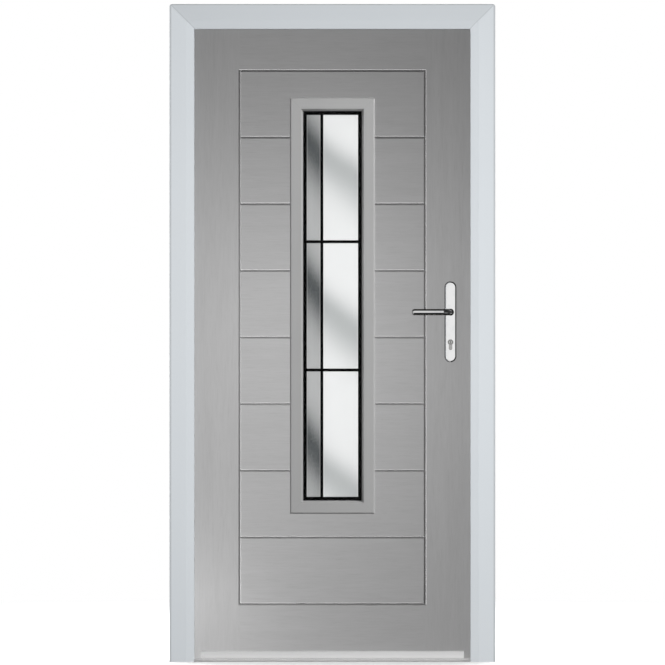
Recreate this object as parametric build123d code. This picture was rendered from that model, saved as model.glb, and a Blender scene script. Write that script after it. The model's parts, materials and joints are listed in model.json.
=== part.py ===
"""Front door set: a glazed composite leaf hung in a welded plastic frame with a low threshold.

Millimetres. +Z is up, +X is the lock side seen from outside, and -Y is outside. The origin lies on the
underside of the threshold, at the middle of the frame's width and depth. The leaf opens inwards, to +Y.
"""

import math
import os

from build123d import *

# Frame: a welded outer frame with a rebate that the leaf closes into from inside
FRAME_WIDTH = 1000.0
FRAME_HEIGHT = 2020.0
FRAME_FACE = 76.0
FRAME_CHAMFER_WIDTH = 25.0
FRAME_CHAMFER_DEPTH = 9.0
FRAME_FACE_FALL = 1.5
FRAME_EDGE_RADIUS = 2.0
FRAME_CORNER_RADIUS = 8.0
REBATE_LEG = 21.0
REBATE_OVERLAP = 14.0
LEAF_GAP = 7.0
CHANNEL_WIDTH = 14.0
CHANNEL_DEPTH = 12.0
FIXING_HOLE_RADIUS = 5.0
FIXING_END_DISTANCE = 200.0
FIXING_COUNT = 4

# Seals that close the gaps between the frame and the leaf
SEAL_GAP = 5.0
SEAL_WIDTH = 9.0
SEAL_BASE = 1.5
SEAL_CLEARANCE = 0.3

# Threshold
THRESHOLD_HEIGHT = 6.0
THRESHOLD_NOSE = 2.5
THRESHOLD_RAMP = 14.0
THRESHOLD_RIB_COUNT = 4
THRESHOLD_RIB_WIDTH = 2.0
THRESHOLD_RIB_PITCH = 6.0
THRESHOLD_RIB_DEPTH = 1.0
BOTTOM_GAP = 5.0

# Leaf: two moulded skins on an edge frame with a foam core
LEAF_THICKNESS = 44.0
SKIN = 4.0
STILE_WIDTH = 35.0
RAIL_HEIGHT = 45.0

# Moulded panel lines on both skins
PANEL_SIDE_MARGIN = 139.0
PANEL_TOP_MARGIN = 127.0
PANEL_BOTTOM_HEIGHT = 176.5
PANEL_COURSES = 8
GROOVE_WIDTH = 8.0
GROOVE_FLOOR = 1.6
GROOVE_DEPTH = 3.0

# Glazing: a sealed unit with a leaded panel inside, held between two cassettes
CASSETTE_WIDTH = 261.0
CASSETTE_HEIGHT = 1279.0
CASSETTE_DROP = 84.0
CASSETTE_BAND = 34.0
CASSETTE_RIM = 9.0
CASSETTE_EDGE = 4.0
CASSETTE_REVEAL = 6.5
CASSETTE_LIP_CLEARANCE = 0.5
UNIT_EDGE_COVER = 16.0
UNIT_CLEARANCE = 4.0
UNIT_THICKNESS = 28.0
PANE = 4.0
SPACER_WIDTH = 12.0
CAME_THICKNESS = 6.0
CAME_BORDER_SHOWN = 11.0
CAME_BAR = 9.0
CAME_CROSSBAR = 9.0
TILE_THICKNESS = 4.0
TILE_BEVEL_WIDTH = 5.0
TILE_BEVEL_DEPTH = 1.0
NARROW_TILE_WIDTH = 42.0
TILE_ROWS = 3

# Weather bar along the foot of the leaf
WEATHER_BAR_END_GAP = 20.0
WEATHER_BAR_HEIGHT = 21.0
WEATHER_BAR_LIFT = 0.5
WEATHER_BAR_REACH = 20.0
WEATHER_BAR_TOP_REACH = 7.0
WEATHER_BAR_BULGE = 1.5
WEATHER_BAR_NOSE = 5.0
WEATHER_BAR_DRIP = 3.0

# Lever handles on long backplates, with a profile key cylinder below
LOCK_BACKSET = 75.0
SPINDLE_HEIGHT = 1074.0
KEY_CENTRES = 92.0
SPINDLE_SIZE = 8.0
PLATE_WIDTH = 33.0
PLATE_ABOVE_SPINDLE = 93.0
PLATE_BELOW_SPINDLE = 152.0
PLATE_THICKNESS = 10.0
PLATE_EDGE_CHAMFER = 2.5
LEVER_NECK_RADIUS = 10.5
LEVER_NECK_SHOWN = 5.0
LEVER_CLEARANCE = 0.1
LEVER_LENGTH = 119.0
LEVER_STANDOFF = 50.0
LEVER_BEND_RADIUS = 18.0
LEVER_BEND_STEPS = 4
LEVER_HEIGHT = 19.0
LEVER_DEPTH = 13.0
LEVER_END_BEVEL = 3.0
LEVER_SOCKET_DEPTH = 22.0
CYLINDER_RADIUS = 8.5
CYLINDER_WEB = 10.0
CYLINDER_HEIGHT = 33.0
CYLINDER_PROUD = 1.0
CYLINDER_CLEARANCE = 0.3
PLUG_RADIUS = 6.4
PLUG_LENGTH = 30.0
PLUG_CLEARANCE = 0.1
KEYWAY_WIDTH = 2.2
KEYWAY_HEIGHT = 8.5
KEYWAY_DEPTH = 24.0

# Multipoint lock: a strip in the leaf's edge and keeps in the frame
STRIP_WIDTH = 20.0
STRIP_THICKNESS = 3.0
STRIP_END_DISTANCE = 150.0
HOOK_END_DISTANCE = 300.0
BOLT_DEPTH = 24.0
LATCH_SIZE = (12.0, 24.0)
DEADBOLT_SIZE = (12.0, 32.0)
HOOK_SIZE = (10.0, 60.0)
KEEP_WIDTH = 24.0
KEEP_THICKNESS = 4.0
KEEP_MARGIN = 24.0
KEEP_SLOT_CLEARANCE = 2.0

# Flag hinges on the inside face
HINGE_END_DISTANCE = 200.0
HINGE_LENGTH = 92.0
HINGE_FLAG_WIDTH = 42.0
HINGE_FLAG_THICKNESS = 4.0
HINGE_FLAG_RADIUS = 5.0
HINGE_KNUCKLE_RADIUS = 9.0
HINGE_PIN_RADIUS = 6.0
HINGE_PIN_CLEARANCE = 0.1
HINGE_PIN_OFFSET = 11.0
HINGE_FLAG_SETBACK = 12.0
HINGE_JOINT_GAP = 1.0
HINGE_CAP = 5.0

# Places worked out from the sizes above
FRAME_DEPTH = REBATE_LEG + SEAL_GAP + LEAF_THICKNESS
FRAME_OUTSIDE = -FRAME_DEPTH / 2
FRAME_INSIDE = FRAME_DEPTH / 2
FRAME_SIDE = FRAME_WIDTH / 2
REBATE_STEP = FRAME_OUTSIDE + REBATE_LEG
REBATE_DEPTH = FRAME_FACE - REBATE_OVERLAP - LEAF_GAP
DAYLIGHT_SIDE = FRAME_SIDE - FRAME_FACE
LEAF_SIDE = DAYLIGHT_SIDE + REBATE_OVERLAP
LEAF_TOP = FRAME_HEIGHT - FRAME_FACE + REBATE_OVERLAP
LEAF_BOTTOM = THRESHOLD_HEIGHT + BOTTOM_GAP
LEAF_OUTSIDE = REBATE_STEP + SEAL_GAP
LEAF_INSIDE = LEAF_OUTSIDE + LEAF_THICKNESS
LEAF_MIDDLE = (LEAF_OUTSIDE + LEAF_INSIDE) / 2
CORE_OUTSIDE = LEAF_OUTSIDE + SKIN
CORE_INSIDE = LEAF_INSIDE - SKIN
PANEL_SIDE = DAYLIGHT_SIDE - PANEL_SIDE_MARGIN
PANEL_TOP = FRAME_HEIGHT - FRAME_FACE - PANEL_TOP_MARGIN
PANEL_COURSE = (PANEL_TOP - PANEL_BOTTOM_HEIGHT) / PANEL_COURSES
GLAZING_CENTRE = PANEL_TOP - CASSETTE_DROP - CASSETTE_HEIGHT / 2
SIGHT_WIDTH = CASSETTE_WIDTH - 2 * (CASSETTE_BAND + CASSETTE_REVEAL)
SIGHT_HEIGHT = CASSETTE_HEIGHT - 2 * (CASSETTE_BAND + CASSETTE_REVEAL)
UNIT_WIDTH = SIGHT_WIDTH + 2 * UNIT_EDGE_COVER
UNIT_HEIGHT = SIGHT_HEIGHT + 2 * UNIT_EDGE_COVER
UNIT_OUTSIDE = LEAF_MIDDLE - UNIT_THICKNESS / 2
UNIT_INSIDE = LEAF_MIDDLE + UNIT_THICKNESS / 2
GLASS_WIDTH = SIGHT_WIDTH - 2 * CAME_BORDER_SHOWN
GLASS_HEIGHT = SIGHT_HEIGHT - 2 * CAME_BORDER_SHOWN
WIDE_TILE_WIDTH = GLASS_WIDTH - NARROW_TILE_WIDTH - CAME_BAR
TILE_HEIGHT = (GLASS_HEIGHT - (TILE_ROWS - 1) * CAME_CROSSBAR) / TILE_ROWS
LOCK_X = LEAF_SIDE - LOCK_BACKSET
KEY_HEIGHT = SPINDLE_HEIGHT - KEY_CENTRES
KEEP_FACE = FRAME_SIDE - REBATE_DEPTH
HINGE_X = -LEAF_SIDE - LEAF_GAP / 2
HINGE_Y = LEAF_INSIDE + HINGE_PIN_OFFSET
HINGE_LOW = LEAF_BOTTOM + HINGE_END_DISTANCE
HINGE_HIGH = LEAF_TOP - HINGE_END_DISTANCE
HINGE_HEIGHTS = (HINGE_LOW, (HINGE_LOW + HINGE_HIGH) / 2, HINGE_HIGH)
OVERSHOOT = 1.0


def block(x0, x1, y0, y1, z0, z1):
    """A box between two corners."""
    centre = Pos((x0 + x1) / 2, (y0 + y1) / 2, (z0 + z1) / 2)
    return centre * Box(x1 - x0, y1 - y0, z1 - z0)


def prism_up(face, z0, z1):
    """A face drawn in X and Y, extruded from one height to another."""
    return extrude(Pos(0, 0, z0) * face, z1 - z0, dir=(0, 0, 1))


def prism_across(face, x0, x1):
    """A face drawn in Y and Z, as X and Y of a sketch, extruded along the width."""
    return extrude(Plane.YZ.offset(x0) * face, x1 - x0, dir=(1, 0, 0))


def prism_inwards(face, y0, y1):
    """A face drawn in X and Z, as X and Y of a sketch, extruded along the depth."""
    return extrude(Plane((0, y0, 0), (1, 0, 0), (0, -1, 0)) * face, y1 - y0, dir=(0, 1, 0))


def outline(*points):
    """A closed face through the points, with straight sides."""
    return make_face(Polyline(*points, close=True))


def centred_rectangle(width, height, y):
    """A rectangle on the glazing's centre line, at a depth, facing outwards."""
    return Plane((0, y, GLAZING_CENTRE), (1, 0, 0), (0, -1, 0)) * Rectangle(width, height)


def glazing_block(width, height, y0, y1):
    """A block on the glazing's centre line, between two depths."""
    half_width = width / 2
    half_height = height / 2
    return block(
        -half_width, half_width, y0, y1, GLAZING_CENTRE - half_height, GLAZING_CENTRE + half_height
    )


# The outer frame


def frame_section():
    """The frame's section: X is the distance in from the wall, Y is the depth."""
    wall_edge = (0, FRAME_OUTSIDE + FRAME_FACE_FALL)
    nose = (FRAME_FACE, FRAME_OUTSIDE + FRAME_CHAMFER_DEPTH)
    section = outline(
        wall_edge,
        (FRAME_FACE - FRAME_CHAMFER_WIDTH, FRAME_OUTSIDE),
        nose,
        (FRAME_FACE, REBATE_STEP),
        (REBATE_DEPTH, REBATE_STEP),
        (REBATE_DEPTH, FRAME_INSIDE),
        (0, FRAME_INSIDE),
    )
    softened = [section.vertices().sort_by_distance(point)[0] for point in (wall_edge, nose)]
    section = fillet(softened, FRAME_EDGE_RADIUS)
    channel = Pos(REBATE_DEPTH, LEAF_MIDDLE) * Rectangle(2 * CHANNEL_DEPTH, CHANNEL_WIDTH)
    return section - channel


def seal_section():
    """A bubble seal on the rebate's leg, in the same axes as the frame's section."""
    centre = FRAME_FACE - REBATE_OVERLAP / 2
    base = REBATE_STEP + SEAL_BASE
    crown = LEAF_OUTSIDE - SEAL_CLEARANCE
    left = centre - SEAL_WIDTH / 2
    right = centre + SEAL_WIDTH / 2
    edge = [
        Polyline((left, base), (left, REBATE_STEP), (right, REBATE_STEP), (right, base)),
        ThreePointArc((right, base), (centre, crown), (left, base)),
    ]
    return make_face(edge)


def corner_wedge(side):
    """What the 45 degree mitre at a top corner takes off a jamb, on one side of the frame."""
    reach = FRAME_FACE + OVERSHOOT
    corner = outline(
        (side * FRAME_SIDE, FRAME_HEIGHT),
        (side * (FRAME_SIDE - reach), FRAME_HEIGHT),
        (side * (FRAME_SIDE - reach), FRAME_HEIGHT - reach),
    )
    return prism_inwards(corner, FRAME_OUTSIDE - OVERSHOOT, FRAME_INSIDE + OVERSHOOT)


def head_wedge(side):
    """What the same mitre takes off the head."""
    reach = FRAME_FACE + OVERSHOOT
    corner = outline(
        (side * FRAME_SIDE, FRAME_HEIGHT),
        (side * FRAME_SIDE, FRAME_HEIGHT - reach),
        (side * (FRAME_SIDE - reach), FRAME_HEIGHT - reach),
    )
    return prism_inwards(corner, FRAME_OUTSIDE - OVERSHOOT, FRAME_INSIDE + OVERSHOOT)


def corner_round(side):
    """What the rounded outer corner at the top takes off both the jamb and the head."""
    x = side * (FRAME_SIDE - FRAME_CORNER_RADIUS)
    z = FRAME_HEIGHT - FRAME_CORNER_RADIUS
    square = Pos(x + side * FRAME_CORNER_RADIUS, z + FRAME_CORNER_RADIUS) * Rectangle(
        2 * FRAME_CORNER_RADIUS, 2 * FRAME_CORNER_RADIUS
    )
    corner = square - Pos(x, z) * Circle(FRAME_CORNER_RADIUS)
    return prism_inwards(corner, FRAME_OUTSIDE - OVERSHOOT, FRAME_INSIDE + OVERSHOOT)


def upright(section, side, foot):
    """A section stood up at one side of the frame, mitred at the head."""
    along = Pos(-FRAME_SIDE, 0) * section
    if side > 0:
        along = mirror(along, Plane.YZ)
    return prism_up(along, foot, FRAME_HEIGHT) - corner_wedge(side)


def headpiece(section):
    """A section laid across the head, mitred at both ends."""
    hung = Pos(0, FRAME_HEIGHT) * (Rot(0, 0, -90) * section)
    return prism_across(hung, -FRAME_SIDE, FRAME_SIDE) - head_wedge(-1) - head_wedge(1)


def fixing_heights():
    """Heights of the frame fixings, evenly spaced between the two end ones."""
    pitch = (FRAME_HEIGHT - 2 * FIXING_END_DISTANCE) / (FIXING_COUNT - 1)
    return [FIXING_END_DISTANCE + i * pitch for i in range(FIXING_COUNT)]


def jamb(side):
    """One side of the frame, drilled for the fixings that hold it to the wall."""
    post = upright(frame_section(), side, 0) - corner_round(side)
    for height in fixing_heights():
        drill = Rot(0, 90, 0) * Cylinder(FIXING_HOLE_RADIUS, 2 * FRAME_FACE)
        post -= Pos(side * FRAME_SIDE, LEAF_MIDDLE, height) * drill
    return post


def lock_jamb():
    """The lock side of the frame, with a seat for each keep."""
    post = jamb(1)
    for low, high, _ in keep_spans():
        post -= block(
            KEEP_FACE - OVERSHOOT,
            KEEP_FACE + KEEP_THICKNESS,
            LEAF_MIDDLE - KEEP_WIDTH / 2,
            LEAF_MIDDLE + KEEP_WIDTH / 2,
            low,
            high,
        )
    return post


def threshold():
    """A low ramped sill between the jambs, notched round the rebate's legs, with grip ribs on top."""
    section = outline(
        (FRAME_OUTSIDE, 0),
        (FRAME_OUTSIDE, THRESHOLD_NOSE),
        (FRAME_OUTSIDE + THRESHOLD_RAMP, THRESHOLD_HEIGHT),
        (FRAME_INSIDE - THRESHOLD_RAMP, THRESHOLD_HEIGHT),
        (FRAME_INSIDE, THRESHOLD_NOSE),
        (FRAME_INSIDE, 0),
    )
    for i in range(THRESHOLD_RIB_COUNT):
        rib = LEAF_MIDDLE + SEAL_WIDTH + i * THRESHOLD_RIB_PITCH - THRESHOLD_RIB_PITCH
        section -= Pos(rib, THRESHOLD_HEIGHT) * Rectangle(THRESHOLD_RIB_WIDTH, 2 * THRESHOLD_RIB_DEPTH)
    sill = prism_across(section, -KEEP_FACE, KEEP_FACE)
    for side in (-1, 1):
        ends = sorted((side * DAYLIGHT_SIDE, side * (KEEP_FACE + OVERSHOOT)))
        sill -= block(*ends, FRAME_OUTSIDE - OVERSHOOT, REBATE_STEP, -OVERSHOOT, THRESHOLD_HEIGHT + OVERSHOOT)
    return sill


def threshold_seal():
    """A blade on the threshold that the foot of the leaf passes over."""
    return block(
        -LEAF_SIDE,
        LEAF_SIDE,
        CORE_OUTSIDE,
        CORE_OUTSIDE + SEAL_BASE * 2,
        THRESHOLD_HEIGHT,
        LEAF_BOTTOM - SEAL_CLEARANCE,
    )


# The leaf


def euro_profile(clearance):
    """The outline of a profile cylinder in X and Z about its plug, grown by a clearance."""
    radius = CYLINDER_RADIUS + clearance
    web = CYLINDER_WEB + 2 * clearance
    tail = CYLINDER_HEIGHT - CYLINDER_RADIUS - CYLINDER_WEB / 2
    return Circle(radius) + Pos(0, -tail / 2) * Rectangle(web, tail) + Pos(0, -tail) * Circle(web / 2)


def lock_holes():
    """What the spindle and the key cylinder need cut through the leaf."""
    spindle = Circle(LEVER_NECK_RADIUS + LEVER_CLEARANCE)
    face = Pos(LOCK_X, SPINDLE_HEIGHT) * spindle + Pos(LOCK_X, KEY_HEIGHT) * euro_profile(CYLINDER_CLEARANCE)
    return prism_inwards(face, LEAF_OUTSIDE - OVERSHOOT, LEAF_INSIDE + OVERSHOOT)


def glazing_hole():
    """The hole in the leaf that the sealed unit sits in."""
    return glazing_block(
        UNIT_WIDTH + 2 * UNIT_CLEARANCE,
        UNIT_HEIGHT + 2 * UNIT_CLEARANCE,
        LEAF_OUTSIDE - OVERSHOOT,
        LEAF_INSIDE + OVERSHOOT,
    )


def panel_border(half_groove_top, half_groove_floor):
    """A tapered block from the outer skin's face to the floor of the border groove."""
    height = PANEL_TOP - PANEL_BOTTOM_HEIGHT
    centre = (PANEL_TOP + PANEL_BOTTOM_HEIGHT) / 2
    rings = []
    for half, y in ((half_groove_top, LEAF_OUTSIDE), (half_groove_floor, LEAF_OUTSIDE + GROOVE_DEPTH)):
        plane = Plane((0, y, centre), (1, 0, 0), (0, -1, 0))
        rings.append(plane * Rectangle(2 * PANEL_SIDE + 2 * half, height + 2 * half))
    return loft(rings)


def panel_grooves():
    """The border groove and the level grooves that divide it into courses."""
    half_top = GROOVE_WIDTH / 2
    half_floor = GROOVE_FLOOR / 2
    grooves = panel_border(half_top, half_floor) - panel_border(-half_top, -half_floor)
    floor = LEAF_OUTSIDE + GROOVE_DEPTH
    for i in range(1, PANEL_COURSES):
        level = PANEL_BOTTOM_HEIGHT + i * PANEL_COURSE
        section = outline(
            (LEAF_OUTSIDE, level - half_top),
            (LEAF_OUTSIDE, level + half_top),
            (floor, level + half_floor),
            (floor, level - half_floor),
        )
        grooves += prism_across(section, -PANEL_SIDE, PANEL_SIDE)
    return grooves


def outer_skin():
    """The outside skin, moulded with the panel lines and cut for the glazing and the lock."""
    sheet = block(-LEAF_SIDE, LEAF_SIDE, LEAF_OUTSIDE, CORE_OUTSIDE, LEAF_BOTTOM, LEAF_TOP)
    return sheet - panel_grooves() - glazing_hole() - lock_holes()


def to_inside(shape):
    """The same shape on the inside face of the leaf."""
    return mirror(shape, Plane.XZ.offset(-LEAF_MIDDLE))


def core():
    """The foam between the skins and the edge frame."""
    fill = block(
        -LEAF_SIDE + STILE_WIDTH,
        LEAF_SIDE - STILE_WIDTH,
        CORE_OUTSIDE,
        CORE_INSIDE,
        LEAF_BOTTOM + RAIL_HEIGHT,
        LEAF_TOP - RAIL_HEIGHT,
    )
    return fill - glazing_hole() - lock_holes()


def rail(z0, z1):
    """An edge rail between the stiles."""
    return block(-LEAF_SIDE + STILE_WIDTH, LEAF_SIDE - STILE_WIDTH, CORE_OUTSIDE, CORE_INSIDE, z0, z1)


def hinge_stile():
    """The edge of the leaf on the hinge side."""
    return block(-LEAF_SIDE, -LEAF_SIDE + STILE_WIDTH, CORE_OUTSIDE, CORE_INSIDE, LEAF_BOTTOM, LEAF_TOP)


def lock_stile():
    """The edge of the leaf on the lock side, cut for the lock's strip and bolts."""
    stile = block(LEAF_SIDE - STILE_WIDTH, LEAF_SIDE, CORE_OUTSIDE, CORE_INSIDE, LEAF_BOTTOM, LEAF_TOP)
    return stile - lock_strip_blank() - lock_bolts()


def weather_bar():
    """A rain deflector on the foot of the leaf, with a swelled face and a drip groove under its nose."""
    foot = LEAF_BOTTOM + WEATHER_BAR_LIFT
    top = foot + WEATHER_BAR_HEIGHT
    nose = LEAF_OUTSIDE - WEATHER_BAR_REACH
    lip = (nose, foot + WEATHER_BAR_NOSE)
    shoulder = (LEAF_OUTSIDE - WEATHER_BAR_TOP_REACH, top)
    section = make_face(
        [
            SagittaArc(lip, shoulder, WEATHER_BAR_BULGE),
            Polyline(lip, (nose, foot), (LEAF_OUTSIDE, foot), (LEAF_OUTSIDE, top), shoulder),
        ]
    )
    drip = Pos(nose + 2 * WEATHER_BAR_DRIP, foot) * Circle(WEATHER_BAR_DRIP / 2)
    length = DAYLIGHT_SIDE - WEATHER_BAR_END_GAP
    return prism_across(section - drip, -length, length)


# The glazing


def outer_cassette():
    """The glazing frame on the outside face: a bevelled rim, a lip in the hole and a sloping reveal."""
    rim = glazing_block(CASSETTE_WIDTH, CASSETTE_HEIGHT, LEAF_OUTSIDE - CASSETTE_RIM, LEAF_OUTSIDE)
    rim = chamfer(rim.faces().sort_by(Axis.Y)[0].edges(), CASSETTE_EDGE)
    lip = glazing_block(
        UNIT_WIDTH + 2 * (UNIT_CLEARANCE - CASSETTE_LIP_CLEARANCE),
        UNIT_HEIGHT + 2 * (UNIT_CLEARANCE - CASSETTE_LIP_CLEARANCE),
        LEAF_OUTSIDE,
        UNIT_OUTSIDE,
    )
    front = centred_rectangle(
        CASSETTE_WIDTH - 2 * CASSETTE_BAND, CASSETTE_HEIGHT - 2 * CASSETTE_BAND, LEAF_OUTSIDE - CASSETTE_RIM
    )
    return rim + lip - loft([front, centred_rectangle(SIGHT_WIDTH, SIGHT_HEIGHT, UNIT_OUTSIDE)])


def outer_pane():
    """The clear outside sheet of the sealed unit."""
    return glazing_block(UNIT_WIDTH, UNIT_HEIGHT, UNIT_OUTSIDE, UNIT_OUTSIDE + PANE)


def spacer():
    """The bar round the edge that holds the panes apart."""
    inner_width = UNIT_WIDTH - 2 * SPACER_WIDTH
    inner_height = UNIT_HEIGHT - 2 * SPACER_WIDTH
    depths = (UNIT_OUTSIDE + PANE, UNIT_INSIDE - PANE)
    clear = (UNIT_OUTSIDE, UNIT_INSIDE)
    return glazing_block(UNIT_WIDTH, UNIT_HEIGHT, *depths) - glazing_block(inner_width, inner_height, *clear)


def tiles(left, width, thickness):
    """The column of glass tiles whose left edge is given."""
    bottom = GLAZING_CENTRE - GLASS_HEIGHT / 2
    column = []
    for i in range(TILE_ROWS):
        low = bottom + i * (TILE_HEIGHT + CAME_CROSSBAR)
        depths = (LEAF_MIDDLE - thickness / 2, LEAF_MIDDLE + thickness / 2)
        column.append(block(left, left + width, *depths, low, low + TILE_HEIGHT))
    return column


def narrow_tiles(thickness):
    """The narrow tiles on the hinge side."""
    return tiles(-GLASS_WIDTH / 2, NARROW_TILE_WIDTH, thickness)


def wide_tiles(thickness):
    """The wide tiles on the lock side."""
    return tiles(GLASS_WIDTH / 2 - WIDE_TILE_WIDTH, WIDE_TILE_WIDTH, thickness)


def bevelled(column):
    """A column of tiles with the broad, shallow bevel round their outside faces."""
    made = []
    for tile in column:
        front = tile.faces().sort_by(Axis.Y)[0]
        made.append(chamfer(front.edges(), TILE_BEVEL_WIDTH, TILE_BEVEL_DEPTH, reference=front))
    return Compound(made)


def came():
    """The lead that frames the tiles, out to the spacer."""
    lead = glazing_block(
        UNIT_WIDTH - 2 * SPACER_WIDTH,
        UNIT_HEIGHT - 2 * SPACER_WIDTH,
        LEAF_MIDDLE - CAME_THICKNESS / 2,
        LEAF_MIDDLE + CAME_THICKNESS / 2,
    )
    for hole in narrow_tiles(2 * CAME_THICKNESS) + wide_tiles(2 * CAME_THICKNESS):
        lead -= hole
    return lead


# The handles and the key cylinder


def outer_plate():
    """The backplate outside, with round ends and bevelled edges."""
    length = PLATE_ABOVE_SPINDLE + PLATE_BELOW_SPINDLE
    middle = SPINDLE_HEIGHT + (PLATE_ABOVE_SPINDLE - PLATE_BELOW_SPINDLE) / 2
    face = Pos(LOCK_X, middle) * SlotOverall(length, PLATE_WIDTH, rotation=90)
    plate = prism_inwards(face, LEAF_OUTSIDE - PLATE_THICKNESS, LEAF_OUTSIDE)
    plate = chamfer(plate.faces().sort_by(Axis.Y)[0].edges(), PLATE_EDGE_CHAMFER)
    holes = Pos(LOCK_X, SPINDLE_HEIGHT) * Circle(LEVER_NECK_RADIUS + LEVER_CLEARANCE)
    holes += Pos(LOCK_X, KEY_HEIGHT) * euro_profile(CYLINDER_CLEARANCE)
    return plate - prism_inwards(holes, LEAF_OUTSIDE - 2 * PLATE_THICKNESS, LEAF_OUTSIDE + OVERSHOOT)


def lever_oval(x, y, along_x, along_y, depth, height):
    """An oval across the lever's path, at a point and for a direction in plan."""
    plane = Plane((x, y, SPINDLE_HEIGHT), (along_y, -along_x, 0), (along_x, along_y, 0))
    return plane * Ellipse(depth / 2, height / 2)


def lever_bend_ovals(grip_y):
    """The ovals from the start of the bend to its end, where the grip sets off towards -X."""
    ovals = []
    for i in range(LEVER_BEND_STEPS + 1):
        turn = math.pi / 2 * i / LEVER_BEND_STEPS
        x = LOCK_X - LEVER_BEND_RADIUS * (1 - math.cos(turn))
        y = grip_y + LEVER_BEND_RADIUS * (1 - math.sin(turn))
        ovals.append(lever_oval(x, y, -math.sin(turn), -math.cos(turn), LEVER_DEPTH, LEVER_HEIGHT))
    return ovals


def lever_end_ovals(grip_y):
    """The ovals at the grip's free end, before and after its bevel."""
    tip = LOCK_X - LEVER_LENGTH
    ovals = []
    for bevel in (LEVER_END_BEVEL, 0):
        inset = 2 * (LEVER_END_BEVEL - bevel)
        ovals.append(lever_oval(tip + bevel, grip_y, -1, 0, LEVER_DEPTH - inset, LEVER_HEIGHT - inset))
    return ovals


def outer_lever():
    """The lever outside: a round neck, then an oval bar that bends along the leaf, with a bevelled end."""
    plate_face = LEAF_OUTSIDE - PLATE_THICKNESS
    grip_y = LEAF_OUTSIDE - LEVER_STANDOFF
    root = lever_oval(LOCK_X, plate_face, 0, -1, LEVER_DEPTH, LEVER_HEIGHT)
    bar = loft([root] + lever_bend_ovals(grip_y) + lever_end_ovals(grip_y), ruled=True)
    neck_face = Pos(LOCK_X, SPINDLE_HEIGHT) * Circle(LEVER_NECK_RADIUS)
    neck = prism_inwards(neck_face, plate_face - LEVER_NECK_SHOWN, LEAF_OUTSIDE)
    socket_face = Pos(LOCK_X, SPINDLE_HEIGHT) * Rectangle(SPINDLE_SIZE, SPINDLE_SIZE)
    socket = prism_inwards(socket_face, LEAF_OUTSIDE - LEVER_SOCKET_DEPTH, LEAF_OUTSIDE)
    return bar + neck - socket


def spindle():
    """The square bar that joins the two levers."""
    face = Pos(LOCK_X, SPINDLE_HEIGHT) * Rectangle(SPINDLE_SIZE, SPINDLE_SIZE)
    return prism_inwards(face, LEAF_OUTSIDE - LEVER_SOCKET_DEPTH, LEAF_INSIDE + LEVER_SOCKET_DEPTH)


def plug_face_depth():
    """Where the key cylinder ends outside."""
    return LEAF_OUTSIDE - PLATE_THICKNESS - CYLINDER_PROUD


def key_plug():
    """The plug that the key turns, with its keyway."""
    face = Pos(LOCK_X, KEY_HEIGHT) * Circle(PLUG_RADIUS)
    plug = prism_inwards(face, plug_face_depth(), plug_face_depth() + PLUG_LENGTH)
    keyway = Pos(LOCK_X, KEY_HEIGHT) * Rectangle(KEYWAY_WIDTH, KEYWAY_HEIGHT)
    return plug - prism_inwards(keyway, plug_face_depth() - OVERSHOOT, plug_face_depth() + KEYWAY_DEPTH)


def cylinder_body():
    """The body of the key cylinder, through the leaf and both plates, bored for a plug at each end."""
    face = Pos(LOCK_X, KEY_HEIGHT) * euro_profile(0)
    body = prism_inwards(face, plug_face_depth(), 2 * LEAF_MIDDLE - plug_face_depth())
    bore_face = Pos(LOCK_X, KEY_HEIGHT) * Circle(PLUG_RADIUS + PLUG_CLEARANCE)
    bore = prism_inwards(
        bore_face, plug_face_depth() - OVERSHOOT, plug_face_depth() + PLUG_LENGTH + SEAL_CLEARANCE
    )
    return body - bore - to_inside(bore)


# The multipoint lock


def bolt_places():
    """Each bolt's height and its size across and up: latch, deadbolt and two hooks."""
    return [
        (SPINDLE_HEIGHT, LATCH_SIZE),
        (KEY_HEIGHT, DEADBOLT_SIZE),
        (LEAF_BOTTOM + HOOK_END_DISTANCE, HOOK_SIZE),
        (LEAF_TOP - HOOK_END_DISTANCE, HOOK_SIZE),
    ]


def bolt_block(height, size, x0, x1, clearance):
    """A block of one bolt's size across the gap, grown by a clearance."""
    across = size[0] / 2 + clearance
    up = size[1] / 2 + clearance
    return block(x0, x1, LEAF_MIDDLE - across, LEAF_MIDDLE + across, height - up, height + up)


def lock_bolts():
    """The latch, deadbolt and hooks, drawn back flush with the strip."""
    bolts = []
    for height, size in bolt_places():
        bolts.append(bolt_block(height, size, LEAF_SIDE - BOLT_DEPTH, LEAF_SIDE, 0))
    return bolts


def lock_strip_blank():
    """The strip in the leaf's edge before its slots are cut."""
    return block(
        LEAF_SIDE - STRIP_THICKNESS,
        LEAF_SIDE,
        LEAF_MIDDLE - STRIP_WIDTH / 2,
        LEAF_MIDDLE + STRIP_WIDTH / 2,
        LEAF_BOTTOM + STRIP_END_DISTANCE,
        LEAF_TOP - STRIP_END_DISTANCE,
    )


def keep_spans():
    """Each keep's low and high end, and the bolts that go into it."""
    latch, deadbolt, low_hook, high_hook = bolt_places()
    spans = []
    for bolts in ([deadbolt, latch], [low_hook], [high_hook]):
        low = min(height - size[1] / 2 for height, size in bolts) - KEEP_MARGIN
        high = max(height + size[1] / 2 for height, size in bolts) + KEEP_MARGIN
        spans.append((low, high, bolts))
    return spans


def keep(low, high, bolts):
    """A keep let into the lock jamb, slotted for its bolts."""
    plate = block(
        KEEP_FACE,
        KEEP_FACE + KEEP_THICKNESS,
        LEAF_MIDDLE - KEEP_WIDTH / 2,
        LEAF_MIDDLE + KEEP_WIDTH / 2,
        low,
        high,
    )
    for height, size in bolts:
        slot_ends = (KEEP_FACE - OVERSHOOT, KEEP_FACE + KEEP_THICKNESS + OVERSHOOT)
        plate -= bolt_block(height, size, *slot_ends, KEEP_SLOT_CLEARANCE)
    return plate


# The hinges


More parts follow.
